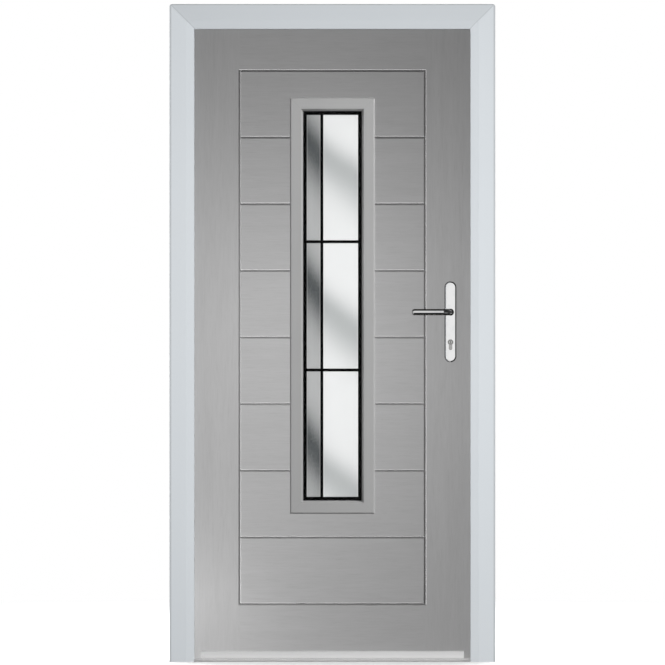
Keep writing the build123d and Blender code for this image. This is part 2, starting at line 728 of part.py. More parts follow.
def hinge_flag_face():
    """A flag's plate in X and Y about the pin, towards +X."""
    near = HINGE_FLAG_SETBACK
    low = -HINGE_PIN_OFFSET
    return outline(
        (near, low),
        (near + HINGE_FLAG_WIDTH, low),
        (near + HINGE_FLAG_WIDTH, low + HINGE_FLAG_THICKNESS),
        (near, low + HINGE_FLAG_THICKNESS),
    )


def hinge_knuckle_face():
    """A knuckle and the arm that joins it to the flag, in the same axes."""
    low = -HINGE_PIN_OFFSET
    arm = outline(
        (0, -HINGE_KNUCKLE_RADIUS),
        (HINGE_FLAG_SETBACK, low + HINGE_FLAG_THICKNESS / 2),
        (HINGE_FLAG_SETBACK + HINGE_FLAG_WIDTH / 2, low + HINGE_FLAG_THICKNESS / 2),
        (HINGE_FLAG_SETBACK, low + 2 * HINGE_FLAG_THICKNESS),
        (0, 0),
    )
    return Circle(HINGE_KNUCKLE_RADIUS) + arm


def hinge_half(knuckle_low, knuckle_high):
    """A flag of the full length, with a knuckle on part of it, about the pin."""
    half = HINGE_LENGTH / 2
    flag = prism_up(hinge_flag_face(), -half, half)
    flag = fillet(flag.edges().filter_by(Axis.Y).group_by(Axis.X)[-1], HINGE_FLAG_RADIUS)
    return flag + prism_up(hinge_knuckle_face(), knuckle_low, knuckle_high)


def leaf_flag(height):
    """The hinge half on the leaf: an upper knuckle that drops over the pin."""
    half = HINGE_LENGTH / 2
    flag = hinge_half(HINGE_JOINT_GAP / 2, half)
    bore = Circle(HINGE_PIN_RADIUS + HINGE_PIN_CLEARANCE)
    flag -= prism_up(bore, -half, half - HINGE_CAP)
    return Pos(HINGE_X, HINGE_Y, height) * flag


def frame_flag(height):
    """The hinge half on the frame: a lower knuckle with the pin standing up from it."""
    half = HINGE_LENGTH / 2
    flag = mirror(hinge_half(-half, -HINGE_JOINT_GAP / 2), Plane.YZ)
    flag += prism_up(Circle(HINGE_PIN_RADIUS), -half, half - HINGE_CAP - HINGE_JOINT_GAP)
    return Pos(HINGE_X, HINGE_Y, height) * flag


def build_nodes():
    """Every sub-part by name."""
    strip = lock_strip_blank()
    for bolt in lock_bolts():
        strip -= bolt
    skin = outer_skin()
    cassette = outer_cassette()
    plate = outer_plate()
    lever = outer_lever()
    plug = key_plug()
    nodes = {
        "frame_head": headpiece(frame_section()) - corner_round(-1) - corner_round(1),
        "hinge_jamb": jamb(-1),
        "lock_jamb": lock_jamb(),
        "threshold": threshold(),
        "head_seal": headpiece(seal_section()),
        "hinge_jamb_seal": upright(seal_section(), -1, THRESHOLD_HEIGHT),
        "lock_jamb_seal": upright(seal_section(), 1, THRESHOLD_HEIGHT),
        "threshold_seal": threshold_seal(),
        "outer_skin": skin,
        "inner_skin": to_inside(skin),
        "foam_core": core(),
        "hinge_stile": hinge_stile(),
        "lock_stile": lock_stile(),
        "top_rail": rail(LEAF_TOP - RAIL_HEIGHT, LEAF_TOP),
        "bottom_rail": rail(LEAF_BOTTOM, LEAF_BOTTOM + RAIL_HEIGHT),
        "weather_bar": weather_bar(),
        "outer_cassette": cassette,
        "inner_cassette": to_inside(cassette),
        "outer_pane": outer_pane(),
        "inner_pane": to_inside(outer_pane()),
        "glass_spacer": spacer(),
        "glass_came": came(),
        "narrow_tiles": bevelled(narrow_tiles(TILE_THICKNESS)),
        "wide_tiles": bevelled(wide_tiles(TILE_THICKNESS)),
        "outer_backplate": plate,
        "inner_backplate": to_inside(plate),
        "outer_lever": lever,
        "inner_lever": to_inside(lever),
        "spindle": spindle(),
        "key_cylinder": cylinder_body(),
        "outer_key_plug": plug,
        "inner_key_plug": to_inside(plug),
        "lock_strip": strip,
        "lock_bolts": Compound(lock_bolts()),
    }
    for name, span in zip(("latch_keep", "lower_hook_keep", "upper_hook_keep"), keep_spans()):
        nodes[name] = keep(*span)
    for name, height in zip(("lower", "middle", "upper"), HINGE_HEIGHTS):
        nodes[name + "_hinge_frame_flag"] = frame_flag(height)
        nodes[name + "_hinge_leaf_flag"] = leaf_flag(height)
    return nodes


os.makedirs("parts", exist_ok=True)
for node_name, shape in build_nodes().items():
    export_step(shape, os.path.join("parts", node_name + ".step"))
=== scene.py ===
"""Looks of a glazed front door: finishes, small pieces, studio light and camera.

Metres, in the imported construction's frame: +Z is up, -Y is outside, and the hinges are on the -X side.
"""

import json
import math

import bmesh
import bpy
from mathutils import Matrix, Vector


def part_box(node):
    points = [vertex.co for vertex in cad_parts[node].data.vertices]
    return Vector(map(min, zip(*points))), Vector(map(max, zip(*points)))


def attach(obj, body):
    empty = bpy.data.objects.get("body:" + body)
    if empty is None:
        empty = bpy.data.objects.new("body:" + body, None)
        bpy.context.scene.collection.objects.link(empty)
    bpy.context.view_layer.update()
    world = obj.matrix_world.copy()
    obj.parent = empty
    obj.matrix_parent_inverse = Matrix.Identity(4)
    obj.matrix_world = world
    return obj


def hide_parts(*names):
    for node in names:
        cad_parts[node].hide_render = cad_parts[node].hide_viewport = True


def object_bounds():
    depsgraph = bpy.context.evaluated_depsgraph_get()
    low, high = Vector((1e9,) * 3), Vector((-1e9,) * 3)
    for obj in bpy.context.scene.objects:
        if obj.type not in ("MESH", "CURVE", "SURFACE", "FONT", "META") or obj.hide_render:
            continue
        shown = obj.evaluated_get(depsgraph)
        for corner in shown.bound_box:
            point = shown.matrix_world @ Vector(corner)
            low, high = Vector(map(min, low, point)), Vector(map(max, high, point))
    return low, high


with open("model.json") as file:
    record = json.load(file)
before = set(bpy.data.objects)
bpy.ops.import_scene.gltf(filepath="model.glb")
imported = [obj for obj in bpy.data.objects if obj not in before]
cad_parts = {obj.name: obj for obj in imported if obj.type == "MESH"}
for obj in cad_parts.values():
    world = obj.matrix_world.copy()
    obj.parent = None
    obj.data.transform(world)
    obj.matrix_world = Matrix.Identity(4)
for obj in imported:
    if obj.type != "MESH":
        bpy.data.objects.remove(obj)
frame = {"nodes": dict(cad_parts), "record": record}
CAD_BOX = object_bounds()
NODES = frame["nodes"]

# The image, and where the door stands in it
IMAGE_PIXELS = 665
DOOR_TOP_PIXEL = 4.0
DOOR_FOOT_PIXEL = 662.0
DOOR_MIDDLE_PIXEL = 332.4
CAMERA_DISTANCE = 15.0
CAMERA_REACH = 200.0
SENSOR_MM = 36.0

# The moulded lines of the skins
PANEL_SIDE = 0.285
PANEL_TOP = 1.817
PANEL_BOTTOM = 0.1765
PANEL_COURSES = 8
PANEL_COURSE = (PANEL_TOP - PANEL_BOTTOM) / PANEL_COURSES

# The skins' grain: cycles a metre along it, across it and into the leaf, and the shift from one board
# to the next
FIBRES = (13, 240, 40)
FIGURE = (2.2, 34, 10)
PORES = (22, 560, 40)
BOARD_SHIFT = 3.7

# The frame's outer edges, which place its mitres
FRAME_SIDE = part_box("frame_head")[1].x
FRAME_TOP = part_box("frame_head")[1].z

# Markings with soft edges: where the change of each begins and ends, in metres
# Painted shade in the skin's grooves: it begins at the first depth below the face and is full by the
# second
GROOVE_SHADE = (0.0018, 0.003)
CASSETTE_MITRE = (0.0004, 0.0016)
FRAME_WELD = (0.0005, 0.0022)
# Painted shade along the frame's outer edges
FRAME_EDGE_SHADE = (0.0015, 0.0045)
# Painted shade at the threshold's foot, where it meets the floor
THRESHOLD_FOOT_SHADE = (0.002, 0.004)
# Painted highlights in the tiles' bevelled margins
TILE_BEVEL_HIGHLIGHT = (0.0015, 0.0045)
PLUG_JOINT = (0.0007, 0.0018)
# Painted shade in and round the keyway: its sides and ends on the plug's face, then its lip and back in
# depth
KEYWAY_SIDE = (0.0012, 0.0024)
KEYWAY_END = (0.004, 0.0055)
KEYWAY_LIP = (0.0006, 0.0016)
KEYWAY_BACK = (0.02, 0.03)
CYLINDER_FOOT = (0.0, 0.004)

# Soft bands in the tiles: the height of each at the middle of its column, its fall to the right, and its
# reach above and below its darkest line. They drift by a little, with cycles a metre across and upwards
WIDE_BANDS = (1.522, 1.052, 0.556)
WIDE_BAND_FALL = 0.75
WIDE_BAND_ABOVE = 0.043
WIDE_BAND_BELOW = 0.072
NARROW_BANDS = (1.582, 1.153, 0.658)
NARROW_BAND_FALL = 1.25
NARROW_BAND_ABOVE = 0.058
NARROW_BAND_BELOW = 0.082
BAND_DRIFT = 0.03
BAND_DRIFT_ACROSS = 6.0
BAND_DRIFT_UP = 3.0

# Glazing gaskets
UNIT_EDGE_COVER = 0.016
GASKET_WIDTH = 0.0025
GASKET_DEPTH = 0.0018

# Lever handles. The dome's angle stops short of a quarter turn, which leaves a small flat at the tip
LEVER_HEIGHT = 0.019
LEVER_DEPTH = 0.013
LEVER_BEND = 0.026
LEVER_BEND_STEPS = 14
LEVER_NECK_RADIUS = 0.0101
LEVER_DOME = 0.006
LEVER_DOME_ANGLE = 0.47 * math.pi
LEVER_DOME_STEPS = 7
LEVER_SIDES = 48
LEVER_SHARP_ANGLE = math.radians(50)
COLLAR_RADIUS = 0.0105
COLLAR_EDGE = 0.0008
COLLAR_LENGTH = 0.015

# Black rubber rims under the handle plates, standing in for the plates' shadow on the leaf as painted
# shadow, and the share of a rim's or gasket's width that its edges ease
PLATE_SHADOW_RIM_WIDTH = 0.0016
PLATE_SHADOW_RIM_RISE = 0.0012
PLATE_SHADOW_RIM_SIDES = 48
RING_EASE = 0.3

# Screw heads. A face is on top of a head where its normal and height reach this share of the full ones
SCREW_RADIUS = 0.0042
SCREW_RISE = 0.0008
SCREW_EDGE = 0.7 * SCREW_RISE
SCREW_SIDES = 24
RECESS_HALF_WIDTH = 0.0006
RECESS_REACH = 0.62 * SCREW_RADIUS
RECESS_DEPTH = 0.0009
ON_TOP = 0.9

# Where the screws sit, the ways they face, and the turns of their recesses in radians
PLATE_SCREW_INSET = 0.014
PLATE_SCREW_TURNS = (0.3, 0.9)
HINGE_LEVELS = ("lower", "middle", "upper")
HINGE_FLAG_THICKNESS = 0.004
HINGE_SCREW_INSET = 0.013
HINGE_SCREW_PITCH = 0.033
HINGE_SCREW_TURN = 0.5
HINGE_SCREW_TURN_STEP = 0.7
KEEP_SCREW_INSET = 0.011
KEEP_SCREW_TURNS = (0.2, 0.8)
STRIP_SCREW_COUNT = 8
STRIP_SCREW_INSET = 0.02
STRIP_SCREW_TURN_STEP = 0.4
INWARDS = (0, 1, 0)
TO_LOCK_SIDE = (1, 0, 0)
TO_HINGE_SIDE = (-1, 0, 0)

# The studio floor, and the distances between which it fades into white
FLOOR_RADIUS = 60.0
FLOOR_SIDES = 96
FLOOR_FADE = (1.2, 3.5)

# What polished faces mirror: the level of the dark studio, and what each soft card adds
GLOSS_DARK = 0.03
GLOSS_AHEAD = 0.84
GLOSS_BESIDE = 0.03
GLOSS_EDGE_ON = 0.08
GLOSS_UPPER_LOSS = 0.28
GLOSS_LEFT = 0.5
GLOSS_RIGHT = 0.18
GLOSS_INSIDE = 0.5

# Fill light on all other faces: its level all round, and what the sides and the inside add
FILL_ROUND = 0.05
FILL_SIDES = 0.4
FILL_INSIDE = 0.35


class Link:
    """An output socket. Sums and products on it add Math nodes to its tree."""

    def __init__(self, tree, socket):
        self.tree = tree
        self.socket = socket

    def math(self, operation, first, second=0.0):
        return self.tree.node("ShaderNodeMath", {"operation": operation}, {0: first, 1: second})

    def __add__(self, other):
        return self.math("ADD", self, other)

    __radd__ = __add__

    def __sub__(self, other):
        return self.math("SUBTRACT", self, other)

    def __rsub__(self, other):
        return self.math("SUBTRACT", other, self)

    def __neg__(self):
        return 0 - self

    def __mul__(self, other):
        return self.math("MULTIPLY", self, other)

    __rmul__ = __mul__

    def __truediv__(self, other):
        return self.math("DIVIDE", self, other)

    def __pow__(self, other):
        return self.math("POWER", self, other)

    def __rpow__(self, other):
        return self.math("POWER", other, self)

    def __gt__(self, other):
        return self.math("GREATER_THAN", self, other)

    def __abs__(self):
        return self.math("ABSOLUTE", self)

    def floor(self):
        return self.math("FLOOR", self)

    def least(self, other):
        return self.math("MINIMUM", self, other)

    def most(self, other):
        return self.math("MAXIMUM", self, other)


class Tree:
    """A node tree under construction, for a finish or for the studio's surroundings."""

    def __init__(self, nodes_of):
        nodes_of.use_nodes = True
        self.tree = nodes_of.node_tree
        self.tree.nodes.clear()

    def node(self, kind, settings=None, inputs=None, out=0):
        """Adds one node: its settings first, then the values or links of its sockets."""
        made = self.tree.nodes.new(kind)
        for name, value in (settings or {}).items():
            setattr(made, name, value)
        for key, value in (inputs or {}).items():
            if isinstance(value, Link):
                self.tree.links.new(value.socket, made.inputs[key])
            else:
                made.inputs[key].default_value = value
        return Link(self, made.outputs[out]) if made.outputs else made

    def axes(self, vector):
        """The three parts of a vector."""
        return [self.node("ShaderNodeSeparateXYZ", None, {0: vector}, out) for out in range(3)]

    def vector(self, x, y, z):
        return self.node("ShaderNodeCombineXYZ", None, {0: x, 1: y, 2: z})

    def length(self, x, y, z):
        """The length of a vector with these parts."""
        parts = self.vector(x, y, z)
        return self.node("ShaderNodeVectorMath", {"operation": "LENGTH"}, {0: parts}, "Value")

    def noise(self, vector, scale=1.0, detail=2.0, roughness=0.5, distortion=0.0):
        sockets = {
            "Vector": vector,
            "Scale": scale,
            "Detail": detail,
            "Roughness": roughness,
            "Distortion": distortion,
        }
        return self.node("ShaderNodeTexNoise", None, sockets)

    def ease(self, value, low, high):
        """0 below one value and 1 above the other, with a soft change between them."""
        sockets = {"Value": value, "From Min": low, "From Max": high}
        return self.node("ShaderNodeMapRange", {"interpolation_type": "SMOOTHSTEP"}, sockets)

    def fade(self, value, low, high):
        """1 below one value and 0 above the other, with a soft change between them."""
        return 1 - self.ease(value, low, high)

    def span(self, value, start, full, fading, end):
        """0 at both ends and 1 between them, with a soft rise and a soft fall."""
        return self.ease(value, start, full) * self.fade(value, fading, end)

    def blend(self, factor, first, second):
        """A colour between two colours."""
        return self.node("ShaderNodeMix", {"data_type": "RGBA"}, {0: factor, 6: first, 7: second}, 2)

    def bump(self, height, distance, strength):
        sockets = {"Strength": strength, "Distance": distance, "Height": height}
        return self.node("ShaderNodeBump", None, sockets)


class Finish(Tree):
    """A material under construction. Its point is the surface's own place, in metres."""

    def __init__(self, name):
        self.material = bpy.data.materials.new(name)
        super().__init__(self.material)
        self.point = self.node("ShaderNodeTexCoord", None, None, "Object")

    def mottle(self, cycles, detail=2.0, roughness=0.5):
        """An even, cloudy pattern, with its cycles a metre."""
        return self.noise(self.point, cycles, detail, roughness)

    def streaks(self, cycles, scale=1.0, detail=2.0, roughness=0.5):
        """A drawn-out pattern, with its own cycles along X, Y and Z."""
        x, y, z = self.axes(self.point)
        drawn_out = self.vector(x * cycles[0], y * cycles[1], z * cycles[2])
        return self.noise(drawn_out, scale, detail, roughness)

    def surface(self, sockets):
        """Closes the finish with one shader whose sockets are given."""
        shader = self.node("ShaderNodeBsdfPrincipled", None, sockets)
        self.node("ShaderNodeOutputMaterial", None, {"Surface": shader})
        return self.material


def grey(level):
    return (level, level, level, 1.0)


# Colours: the two tones that each finish varies between, and those of its markings
SKIN = ((0.380, 0.378, 0.379, 1.0), (0.424, 0.423, 0.425, 1.0))
# The colour of the painted shade in the skin's grooves
SKIN_GROOVE_SHADE = grey(0.12)
CASSETTE = (grey(0.395), grey(0.425))
CASSETTE_LINE = grey(0.24)
WHITE_PLASTIC = ((0.770, 0.814, 0.852, 1.0), (0.804, 0.845, 0.878, 1.0))
# The colour of the frame's weld lines, and of the painted shade along its outer edge
WHITE_PLASTIC_WELD_AND_EDGE_SHADE = (0.50, 0.53, 0.55, 1.0)
ALUMINIUM = (grey(0.84), grey(0.93))
# The colour of the painted shade at the threshold's foot
ALUMINIUM_FOOT_SHADE = grey(0.3)
BLACK_RUBBER = (grey(0.012), grey(0.03))
GREY_RUBBER = (grey(0.40), grey(0.50))
CLEAR_GLASS = (0.02, 0.028, 0.025, 1.0)
# In each glass pair the second tone is a painted highlight for the tiles' bevelled margins
SATIN_PALE_AND_RIM_HIGHLIGHT = ((0.92, 0.93, 0.93, 1.0), grey(0.99))
SATIN_BAND_AND_RIM_HIGHLIGHT = ((0.51, 0.53, 0.53, 1.0), grey(0.9))
SMOKE_PALE_AND_RIM_HIGHLIGHT = ((0.69, 0.70, 0.70, 1.0), grey(0.80))
SMOKE_BAND_AND_RIM_HIGHLIGHT = ((0.120, 0.132, 0.136, 1.0), grey(0.5))
LEAD = (grey(0.003), grey(0.008))
CHROME = (grey(0.93), (0.86, 0.87, 0.88, 1.0))
NICKEL = ((0.57, 0.57, 0.56, 1.0), (0.64, 0.64, 0.63, 1.0))
NICKEL_FOOT = (0.50, 0.50, 0.49, 1.0)
# The colour of the dark joint round the plug and of the painted shade in and round the keyway
NICKEL_JOINT_AND_KEYWAY_SHADE = grey(0.02)
ZINC = ((0.52, 0.53, 0.54, 1.0), (0.66, 0.66, 0.66, 1.0))
POWDER_COAT = (grey(0.76), grey(0.82))
LIPPING = (grey(0.30), grey(0.36))
FOAM = ((0.80, 0.74, 0.52, 1.0), (0.66, 0.58, 0.36, 1.0))
PALE_FLOOR = grey(0.9)
WHITE = grey(1.0)


# Finishes


def leaf_grey():
    """Moulded grey skin with an embossed grain: upright on the stiles, level on the rails and boards,
    with painted shade in its grooves.
    """
    f = Finish("moulded_grey_skin")
    x, y, z = f.axes(f.point)
    stile = abs(x) > PANEL_SIDE
    board = ((z - PANEL_BOTTOM) / PANEL_COURSE).floor()
    along = x + stile * (z - x)
    across = z + stile * (x - z)
    shift = board * (1 - stile) * BOARD_SHIFT

    def grain(cycles, **settings):
        place = f.vector(along * cycles[0] + shift, across * cycles[1], y * cycles[2])
        return f.noise(place, **settings)

    fibres = grain(FIBRES, detail=3.0, roughness=0.55)
    figure = grain(FIGURE, distortion=0.6)
    pores = f.ease(grain(PORES, detail=1.0), 0.55, 0.75)
    tone = fibres * 0.5 + figure * 0.35 - pores * 0.25
    clean = f.blend(f.ease(tone, 0.1, 0.72), *SKIN)
    depth = (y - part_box("outer_skin")[0].y).least(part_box("inner_skin")[1].y - y)
    # Painted shade: the skin darkens where it lies deep in a groove
    sunk = f.ease(depth, *GROOVE_SHADE)
    height = fibres * 0.6 + figure * 0.4 - pores * 0.5
    return f.surface(
        {
            "Base Color": f.blend(sunk * 0.4, clean, SKIN_GROOVE_SHADE),
            "Roughness": 0.5 + pores * 0.12 - fibres * 0.08,
            "Specular IOR Level": 0.3,
            "Normal": f.bump(height, distance=0.0003, strength=0.5),
        }
    )


def cassette_grey():
    """Smooth moulded grey plastic with a fine, even texture and a faint mitre at each corner."""
    f = Finish("cassette_grey")
    x, _, z = f.axes(f.point)
    low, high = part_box("outer_cassette")
    centre = (low + high) / 2
    half = (high - low) / 2
    to_side = half.x - abs(x - centre.x)
    to_end = half.z - abs(z - centre.z)
    mitre = f.fade(abs(to_side - to_end), *CASSETTE_MITRE)
    grainlet = f.mottle(900.0)
    clean = f.blend(f.mottle(7.0), *CASSETTE)
    return f.surface(
        {
            "Base Color": f.blend(mitre * 0.15, clean, CASSETTE_LINE),
            "Roughness": 0.42 + grainlet * 0.1,
            "Specular IOR Level": 0.35,
            "Normal": f.bump(grainlet - mitre * 2, distance=0.00008, strength=0.5),
        }
    )


def frame_white():
    """White extruded plastic: fine lines along its lengths, welded mitres and painted shade along its
    outer edge.
    """
    f = Finish("welded_white_plastic")
    x, y, z = f.axes(f.point)
    to_side = FRAME_SIDE - abs(x)
    to_top = FRAME_TOP - z
    head = to_side > to_top
    along = z + head * (x - z)
    across = to_side + head * (to_top - to_side)
    lines = f.noise(f.vector(along * 1.5, across * 700, y * 700))
    clean = f.blend(f.mottle(3.0), *WHITE_PLASTIC)
    weld = f.fade(abs(to_side - to_top), *FRAME_WELD)
    # Painted shade: the face darkens towards the frame's outer edges. The weld lines are dark joints
    outer_edge_shade = f.fade(to_side.least(to_top), *FRAME_EDGE_SHADE)
    return f.surface(
        {
            "Base Color": f.blend((weld * 0.5).most(outer_edge_shade * 0.6), clean, WHITE_PLASTIC_WELD_AND_EDGE_SHADE),
            "Roughness": 0.32 + lines * 0.1,
            "Specular IOR Level": 0.4,
            "Normal": f.bump(lines * 0.3 - weld, distance=0.00025, strength=0.5),
        }
    )


def brushed_aluminium():
    """Satin anodised aluminium, brushed along the width of the door, with painted shade along its foot.
    """
    f = Finish("satin_aluminium")
    _, _, z = f.axes(f.point)
    brush = f.streaks((3, 900, 900), detail=3.0, roughness=0.6)
    clean = f.blend(brush * 0.6 + f.mottle(9.0) * 0.4, *ALUMINIUM)
    # Painted shade: the aluminium darkens at its foot, where it meets the floor
    foot = f.fade(z, *THRESHOLD_FOOT_SHADE)
    return f.surface(
        {
            "Base Color": f.blend(foot * 0.7, clean, ALUMINIUM_FOOT_SHADE),
            "Metallic": 0.1,
            "Roughness": 0.38 + brush * 0.16,
            "Normal": f.bump(brush, distance=0.00012, strength=0.4),
        }
    )


def rubber(name, tones, roughness, gloss):
    """Matt rubber with a faint bloom."""
    f = Finish(name)
    bloom = f.mottle(26.0, detail=3.0)
    grainlet = f.mottle(1400.0, detail=1.0)
    return f.surface(
        {
            "Base Color": f.blend(bloom, *tones),
            "Roughness": roughness + bloom * 0.2,
            "Specular IOR Level": gloss,
            "Normal": f.bump(grainlet, distance=0.0001, strength=0.4),
        }
    )


def clear_glass():
    """Clear sheet glass: almost wholly see-through, with a faint green body and a clean surface."""
    f = Finish("clear_sheet_glass")
    haze = f.mottle(5.0)
    return f.surface(
        {
            "Base Color": CLEAR_GLASS,
            "Roughness": 0.02 + haze * 0.03,
            "Alpha": 0.06 + haze * 0.04,
            "IOR": 1.5,
        }
    )


def glass_bands(f, node, heights, fall, above, below):
    """Soft bands that fall to the right across a column of tiles: 1 where darkest, 0 away from them."""
    x, _, z = f.axes(f.point)
    low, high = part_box(node)
    middle = (low.x + high.x) / 2
    drift = f.noise(f.vector(x * BAND_DRIFT_ACROSS, z * BAND_DRIFT_UP, 0.0), detail=1.0)
    level = z + (x - middle) * fall + (drift - 0.5) * BAND_DRIFT
    bands = 0.0
    for height in heights:
        rise = level - height
        reach = below + (rise > 0.0) * (above - below)
        bands = bands + math.e ** -((rise / reach) ** 2 / 2)
    return bands.least(1.0)


def tile_rim_highlight(f, node):
    """1 in the bevelled margins at both sides of a column of tiles, where a painted highlight lightens
    the glass, and 0 between them.
    """
    x, _, _ = f.axes(f.point)
    low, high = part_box(node)
    middle = (low.x + high.x) / 2
    to_side = (high.x - low.x) / 2 - abs(x - middle)
    return f.fade(to_side, *TILE_BEVEL_HIGHLIGHT)


def satin_glass():
    """White satin glass with soft grey bands, painted highlights on its bevelled sides and a faint glow
    of painted light in place of daylight through it.
    """
    f = Finish("white_satin_glass")
    band = glass_bands(f, "wide_tiles", WIDE_BANDS, WIDE_BAND_FALL, WIDE_BAND_ABOVE, WIDE_BAND_BELOW)
    rim = tile_rim_highlight(f, "wide_tiles")
    ripple = f.mottle(60.0)
    # Painted highlight: the glass is lighter in its bevelled margins
    colour = f.blend(band, f.blend(rim, *SATIN_PALE_AND_RIM_HIGHLIGHT), f.blend(rim * 0.4, *SATIN_BAND_AND_RIM_HIGHLIGHT))
    return f.surface(
        {
            "Base Color": colour,
            "Roughness": 0.3 + ripple * 0.1,
            # Painted light: the glass glows in its own colour, in place of daylight shining through it
            "Emission Color": colour,
            "Emission Strength": 0.32,
            "Normal": f.bump(ripple, distance=0.0004, strength=0.2),
        }
    )


def smoked_glass():
    """Smoke-grey glass with steeper, darker bands, a watery surface and painted highlights on its
    bevelled sides.
    """
    f = Finish("smoke_grey_glass")
    band = glass_bands(
        f, "narrow_tiles", NARROW_BANDS, NARROW_BAND_FALL, NARROW_BAND_ABOVE, NARROW_BAND_BELOW
    )
    # Painted highlight: the glass is lighter in its bevelled margins
    rim = tile_rim_highlight(f, "narrow_tiles")
    ripple = f.streaks((1.4, 1, 1), scale=45.0)
    stipple = f.mottle(330.0, detail=1.0)
    stippled = (band + band * (stipple - 0.5) * 0.35).least(1.0)
    return f.surface(
        {
            "Base Color": f.blend(stippled, f.blend(rim, *SMOKE_PALE_AND_RIM_HIGHLIGHT), f.blend(rim * 0.4, *SMOKE_BAND_AND_RIM_HIGHLIGHT)),
            "Roughness": 0.18 + ripple * 0.12,
            "Specular IOR Level": 0.2,
            "Normal": f.bump(ripple, distance=0.0006, strength=0.3),
        }
    )


def came_black():
    """Black lead with a dull skin and small dents from the glazier's work."""
    f = Finish("black_lead")
    dents = f.mottle(120.0, detail=3.0)
    return f.surface(
        {
            "Base Color": f.blend(dents, *LEAD),
            "Roughness": 0.5 + dents * 0.2,
            "Specular IOR Level": 0.03,
            "Normal": f.bump(dents, distance=0.0004, strength=0.3),
        }
    )


def chrome():
    """Polished chrome with faint hand marks."""
    f = Finish("polished_chrome")
    marks = f.ease(f.mottle(38.0, detail=4.0, roughness=0.6), 0.45, 0.75)
    return f.surface(
        {
            "Base Color": f.blend(marks, *CHROME),
            "Metallic": 1.0,
            "Roughness": 0.05 + marks * 0.07,
        }
    )


def cylinder_nickel():
    """Satin nickel, turned in fine rings about the key's axis, with a dark joint round the plug and
    painted shade in and round the keyway.
    """
    f = Finish("satin_nickel")
    x, y, z = f.axes(f.point)
    low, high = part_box("outer_key_plug")
    centre = (low + high) / 2
    radius = f.length(x - centre.x, 0.0, z - centre.z)
    rings = f.noise(f.vector(radius * 2600, y * 30, 0.0), detail=1.0)
    below = f.ease(low.z - z, *CYLINDER_FOOT)
    turned = f.blend(below, f.blend(rings, *NICKEL), NICKEL_FOOT)
    joint = f.fade(abs(radius - (high.x - low.x) / 2), *PLUG_JOINT)
    # Painted shade: a faint darkening round the keyway's mouth and a deep one inside the keyway. The
    # ring round the plug is a dark joint
    keyway_mouth_shade = f.fade(abs(x - centre.x), *KEYWAY_SIDE) * f.fade(abs(z - centre.z), *KEYWAY_END)
    depth = f.span(y - low.y, *KEYWAY_LIP, *KEYWAY_BACK)
    dark = (joint * 0.6).most(depth * 0.95).most(keyway_mouth_shade * 0.15)
    return f.surface(
        {
            "Base Color": f.blend(dark, turned, NICKEL_JOINT_AND_KEYWAY_SHADE),
            "Metallic": 1.0,
            "Roughness": 0.14 + rings * 0.1,
            "Normal": f.bump(rings, distance=0.00006, strength=0.4),
        }
    )


def zinc_steel():
    """Zinc-plated steel with a spangled, slightly cloudy sheen."""
    f = Finish("zinc_plated_steel")
    spangle = f.mottle(160.0, detail=3.0, roughness=0.6)
    rolled = f.streaks((500, 500, 4))
    return f.surface(
        {
            "Base Color": f.blend(spangle, *ZINC),
            "Metallic": 1.0,
            "Roughness": 0.28 + spangle * 0.2,
            "Normal": f.bump(rolled, distance=0.00008, strength=0.4),
        }
    )


def hinge_white():
    """White powder coat with a fine orange-peel surface."""
    f = Finish("white_powder_coat")
    peel = f.mottle(420.0)
    return f.surface(
        {
            "Base Color": f.blend(f.mottle(12.0), *POWDER_COAT),
            "Roughness": 0.3 + peel * 0.12,
            "Normal": f.bump(peel, distance=0.00018, strength=0.4),
        }
    )


def edge_grey():
    """Plain grey lipping on the edges of the leaf, with fine lines along its length."""
    f = Finish("grey_edge_lipping")
    lines = f.streaks((3, 480, 3))
    return f.surface(
        {
            "Base Color": f.blend(lines, *LIPPING),
            "Roughness": 0.45 + lines * 0.15,
            "Normal": f.bump(lines, distance=0.0002, strength=0.4),
        }
    )


def foam():
    """Pale rigid foam with small closed cells."""
    f = Finish("rigid_foam")
    cells = f.node("ShaderNodeTexVoronoi", None, {"Vector": f.point, "Scale": 700.0}, "Distance")
    return f.surface(
        {
            "Base Color": f.blend(cells, *FOAM),
            "Roughness": 0.9 - cells * 0.1,
            "Normal": f.bump(cells, distance=0.0004, strength=0.6),
        }
    )


def dress_nodes():
    """Puts a finish on every carried-over node, by its material slot. Gives the finishes by slot."""
    finishes = {
        "frame_white": frame_white(),
        "leaf_grey": leaf_grey(),
        "leaf_edge": edge_grey(),
        "foam": foam(),
        "aluminium": brushed_aluminium(),
        "seal_rubber": rubber("black_rubber", BLACK_RUBBER, roughness=0.62, gloss=0.08),
        "clear_glass": clear_glass(),
        "satin_glass": satin_glass(),
        "smoked_glass": smoked_glass(),
        "came_black": came_black(),
        "chrome": chrome(),
        "cylinder_nickel": cylinder_nickel(),
        "steel": zinc_steel(),
        "hinge_metal": hinge_white(),
    }
    smooth_grey = cassette_grey()
    pale_rubber = rubber("grey_rubber", GREY_RUBBER, roughness=0.6, gloss=0.2)
    for name, node in NODES.items():
        for slot in node.material_slots:
            slot.material = finishes[slot.material.name.split(".")[0]]
        if name.endswith("cassette"):
            node.material_slots[0].material = smooth_grey
        if name == "threshold_seal":
            node.material_slots[0].material = pale_rubber
    return finishes


# Small pieces


def add_piece(name, mesh, body, material):
    """Makes a finished mesh an object that rides on a body."""
    data = bpy.data.meshes.new(name)
    mesh.to_mesh(data)
    mesh.free()
    data.materials.append(material)
    piece = bpy.data.objects.new(name, data)
    bpy.context.scene.collection.objects.link(piece)
    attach(piece, body)
    return piece


def only(kind, geometry):
    """The vertices, edges or faces in what an operator gives."""
    return [part for part in geometry if isinstance(part, kind)]


